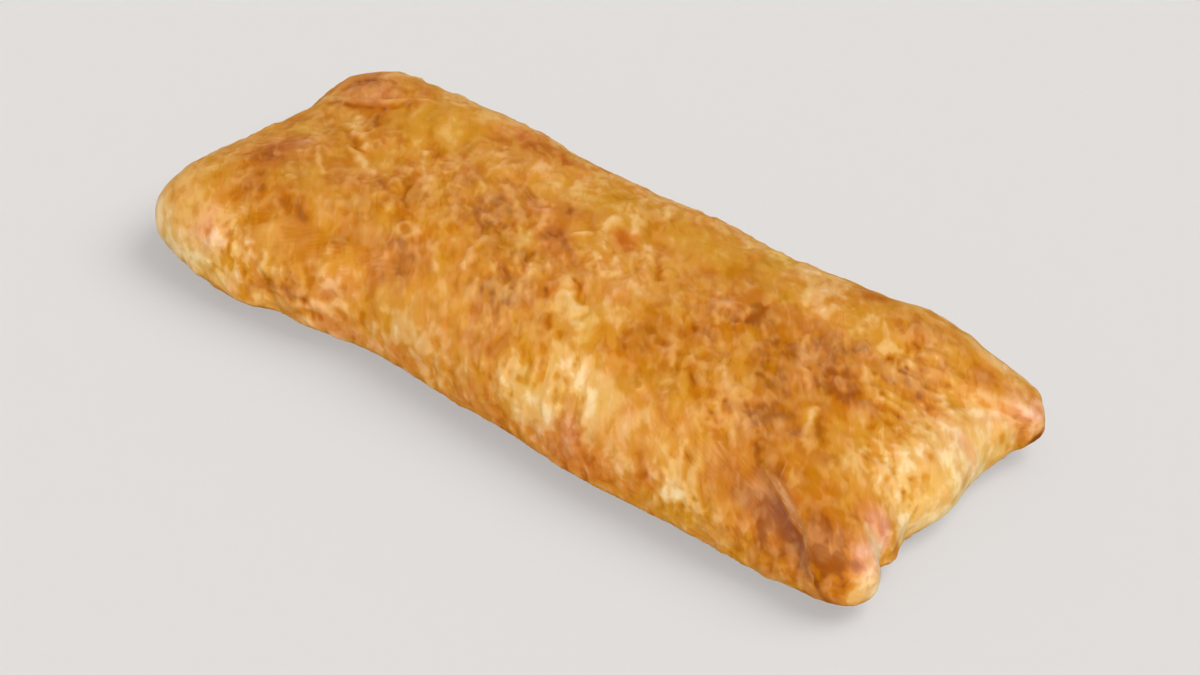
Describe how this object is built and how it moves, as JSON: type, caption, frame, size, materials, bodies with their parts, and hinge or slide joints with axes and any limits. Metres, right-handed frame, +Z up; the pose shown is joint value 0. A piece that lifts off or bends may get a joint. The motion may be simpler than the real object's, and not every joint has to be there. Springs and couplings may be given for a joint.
{
  "type": "semolina bougatsa",
  "caption": "Baked semolina bougatsa: an uncut oblong parcel of golden filo pastry with folded corners, wrinkled side walls and a flat underside.",
  "frame": {"origin": "middle of the footprint, on the surface that the flat underside rests on", "axes": "+X along the long side, towards the end with the pinched corners; -Y towards the long side with the corner dart; +Z up"},
  "size_m": [0.1918, 0.0748, 0.027],
  "materials": {
    "baked_filo": "baked and buttered, satin, golden brown with darker blisters"
  },
  "bodies": {
    "root": {"bougatsa_parcel": "baked_filo"}
  },
  "joints": []
}
